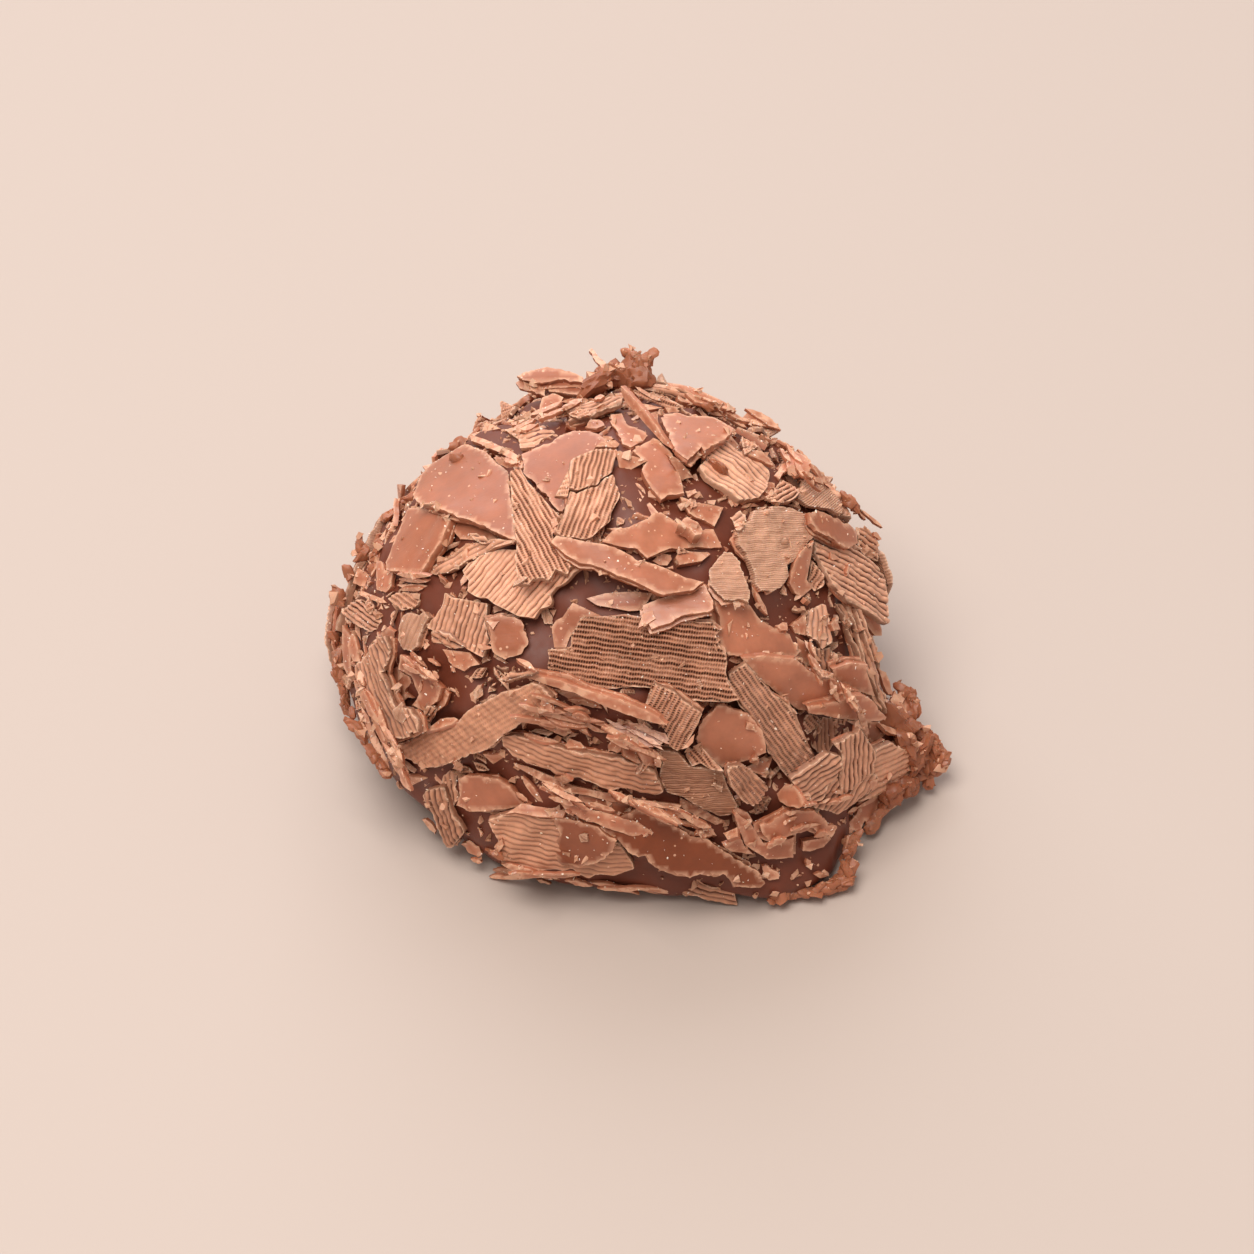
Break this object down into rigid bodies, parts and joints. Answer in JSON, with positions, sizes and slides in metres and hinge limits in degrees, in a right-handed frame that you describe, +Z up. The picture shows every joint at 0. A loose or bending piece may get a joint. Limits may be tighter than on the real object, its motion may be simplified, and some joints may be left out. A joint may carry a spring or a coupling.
{
  "type": "chocolate truffle",
  "caption": "Domed milk chocolate truffle with a flat foot, covered all over with broken ribbed and smooth chocolate flakes.",
  "frame": {"origin": "centre of the flat foot that the truffle rests on, under the dome's middle", "axes": "+Z up from the foot, +X to the viewer's right along the longest side, and the front faces -Y"},
  "size_m": [0.0362, 0.0327, 0.0232],
  "materials": {
    "coating": "satin set milk chocolate coating, roughness about 0.4",
    "smooth_face": "cut face of milk chocolate, finely scratched, roughness about 0.5",
    "ribbed_face": "scraped milk chocolate with fine ribs, roughness about 0.6",
    "grained_face": "dull, finely grained milk chocolate, roughness about 0.65"
  },
  "bodies": {
    "root": {"coated_body": "coating", "grained_flake_01": "grained_face", "grained_flake_02": "grained_face", "grained_flake_03": "grained_face", "grained_flake_04": "grained_face", "grained_flake_05": "grained_face", "grained_flake_06": "grained_face", "grained_flake_07": "grained_face", "ribbed_flake_01": "ribbed_face", "ribbed_flake_02": "ribbed_face", "ribbed_flake_03": "ribbed_face", "ribbed_flake_04": "ribbed_face", "ribbed_flake_05": "ribbed_face", "ribbed_flake_06": "ribbed_face", "ribbed_flake_07": "ribbed_face", "ribbed_flake_08": "ribbed_face", "ribbed_flake_09": "ribbed_face", "ribbed_flake_10": "ribbed_face", "ribbed_flake_11": "ribbed_face", "ribbed_flake_12": "ribbed_face", "ribbed_flake_13": "ribbed_face", "ribbed_flake_14": "ribbed_face", "ribbed_flake_15": "ribbed_face", "ribbed_flake_16": "ribbed_face", "ribbed_flake_17": "ribbed_face", "ribbed_flake_18": "ribbed_face", "ribbed_flake_19": "ribbed_face", "ribbed_flake_20": "ribbed_face", "ribbed_flake_21": "ribbed_face", "ribbed_flake_22": "ribbed_face", "ribbed_flake_23": "ribbed_face", "ribbed_flake_24": "ribbed_face", "ribbed_flake_25": "ribbed_face", "ribbed_flake_26": "ribbed_face", "ribbed_flake_27": "ribbed_face", "ribbed_flake_28": "ribbed_face", "smooth_flake_01": "smooth_face", "smooth_flake_02": "smooth_face", "smooth_flake_03": "smooth_face", "smooth_flake_04": "smooth_face", "smooth_flake_05": "smooth_face", "smooth_flake_06": "smooth_face", "smooth_flake_07": "smooth_face", "smooth_flake_08": "smooth_face", "smooth_flake_09": "smooth_face", "smooth_flake_10": "smooth_face", "smooth_flake_11": "smooth_face", "smooth_flake_12": "smooth_face", "smooth_flake_13": "smooth_face", "smooth_flake_14": "smooth_face", "smooth_flake_15": "smooth_face", "smooth_flake_16": "smooth_face", "smooth_flake_17": "smooth_face", "smooth_flake_18": "smooth_face", "smooth_flake_19": "smooth_face", "smooth_flake_20": "smooth_face", "smooth_flake_21": "smooth_face", "smooth_flake_22": "smooth_face", "smooth_flake_23": "smooth_face", "smooth_flake_24": "smooth_face"}
  },
  "joints": []
}
